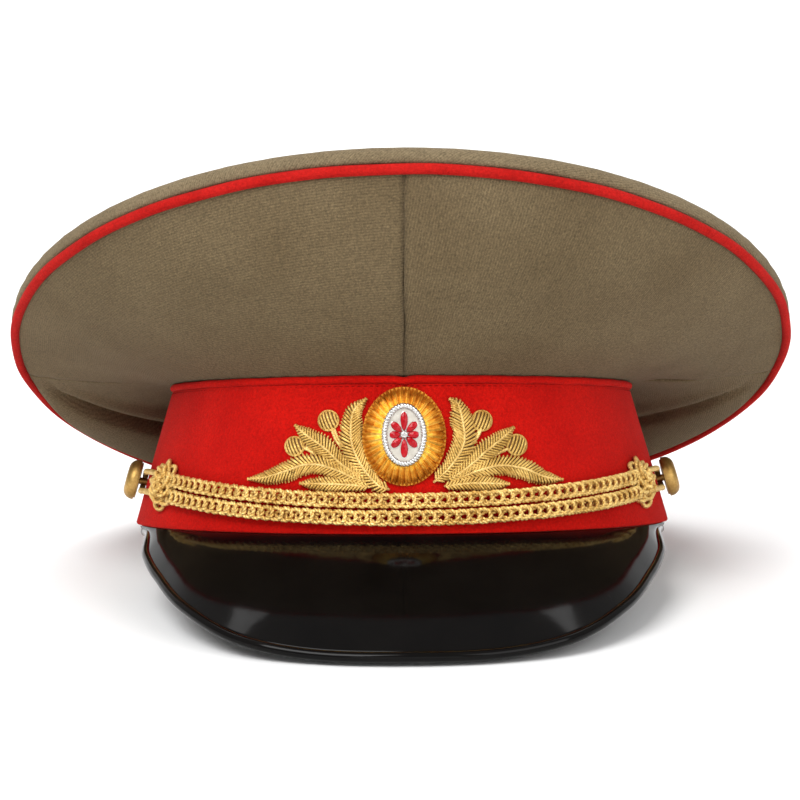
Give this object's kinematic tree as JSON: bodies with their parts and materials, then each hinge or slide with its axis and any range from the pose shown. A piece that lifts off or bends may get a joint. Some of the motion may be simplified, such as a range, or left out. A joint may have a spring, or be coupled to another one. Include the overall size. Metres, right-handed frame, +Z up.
{
  "type": "peaked cap",
  "caption": "Military peaked cap: wide oval crown high at the front, felt band with gilt sprigs and an oval cockade, gilt chin cord between side buttons, glossy sloping visor.",
  "frame": {"origin": "centre of the bounding box on the surface the cap stands on", "axes": "+Z up from the table, -Y to the front of the cap, +X to the right as the front is seen"},
  "size_m": [0.2726, 0.2812, 0.1439],
  "materials": {
    "felt_red": "wool felt",
    "piping_red": "corded cloth",
    "wool_olive": "twill wool",
    "card": "pressed card",
    "sweat_leather": "oiled leather",
    "spring_steel": "drawn wire",
    "satin": "satin",
    "clear_vinyl": "clear film",
    "patent_black": "lacquer",
    "visor_under": "grained leathercloth",
    "gold_thread": "metal thread",
    "gilt": "stamped gilt",
    "silver": "bright stamped",
    "white_enamel": "enamel",
    "red_enamel": "enamel",
    "brass_plain": "plain"
  },
  "bodies": {
    "cap": {"band_cover": "felt_red", "band_stiffener": "card", "sweatband": "sweat_leather", "band_piping": "piping_red", "crown_quarter_front_left": "wool_olive", "crown_quarter_front_right": "wool_olive", "crown_quarter_rear_left": "wool_olive", "crown_quarter_rear_right": "wool_olive", "crown_piping": "piping_red", "crown_hoop": "spring_steel", "hoop_ferrule": "brass_plain", "crown_top_panel": "wool_olive", "front_stay": "spring_steel", "crown_lining": "satin", "lining_shield": "clear_vinyl", "visor_shell": "patent_black", "visor_lining": "visor_under", "visor_edge_bead": "patent_black", "embroidery_leaves_left": "gold_thread", "embroidery_leaves_right": "gold_thread", "embroidery_berries_left": "gold_thread", "embroidery_berries_right": "gold_thread", "cockade_sunburst": "gilt", "cockade_oval_rim": "silver", "cockade_field": "white_enamel", "cockade_rosette": "silver", "cockade_petals": "red_enamel", "cockade_boss": "silver", "cockade_prongs": "brass_plain", "cord_upper": "gold_thread", "cord_lower": "gold_thread", "cord_knot_left": "gold_thread", "cord_knot_right": "gold_thread", "cord_end_loop_left": "gold_thread", "cord_end_loop_right": "gold_thread"},
    "side_button_left": {"side_button_dome_left": "gilt", "side_button_shank_left": "brass_plain", "side_button_fastener_left": "brass_plain"},
    "side_button_right": {"side_button_dome_right": "gilt", "side_button_shank_right": "brass_plain", "side_button_fastener_right": "brass_plain"}
  },
  "joints": [
    {"name": "side_button_left_spin", "type": "hinge", "parent": "cap", "child": "side_button_left", "pos_m": [-0.08948, -0.00224, 0.03071], "axis": [-0.9582, -0.0602, 0.2795], "continuous": true},
    {"name": "side_button_right_spin", "type": "hinge", "parent": "cap", "child": "side_button_right", "pos_m": [0.08948, -0.00224, 0.03071], "axis": [0.9583, -0.0601, 0.2795], "continuous": true}
  ]
}
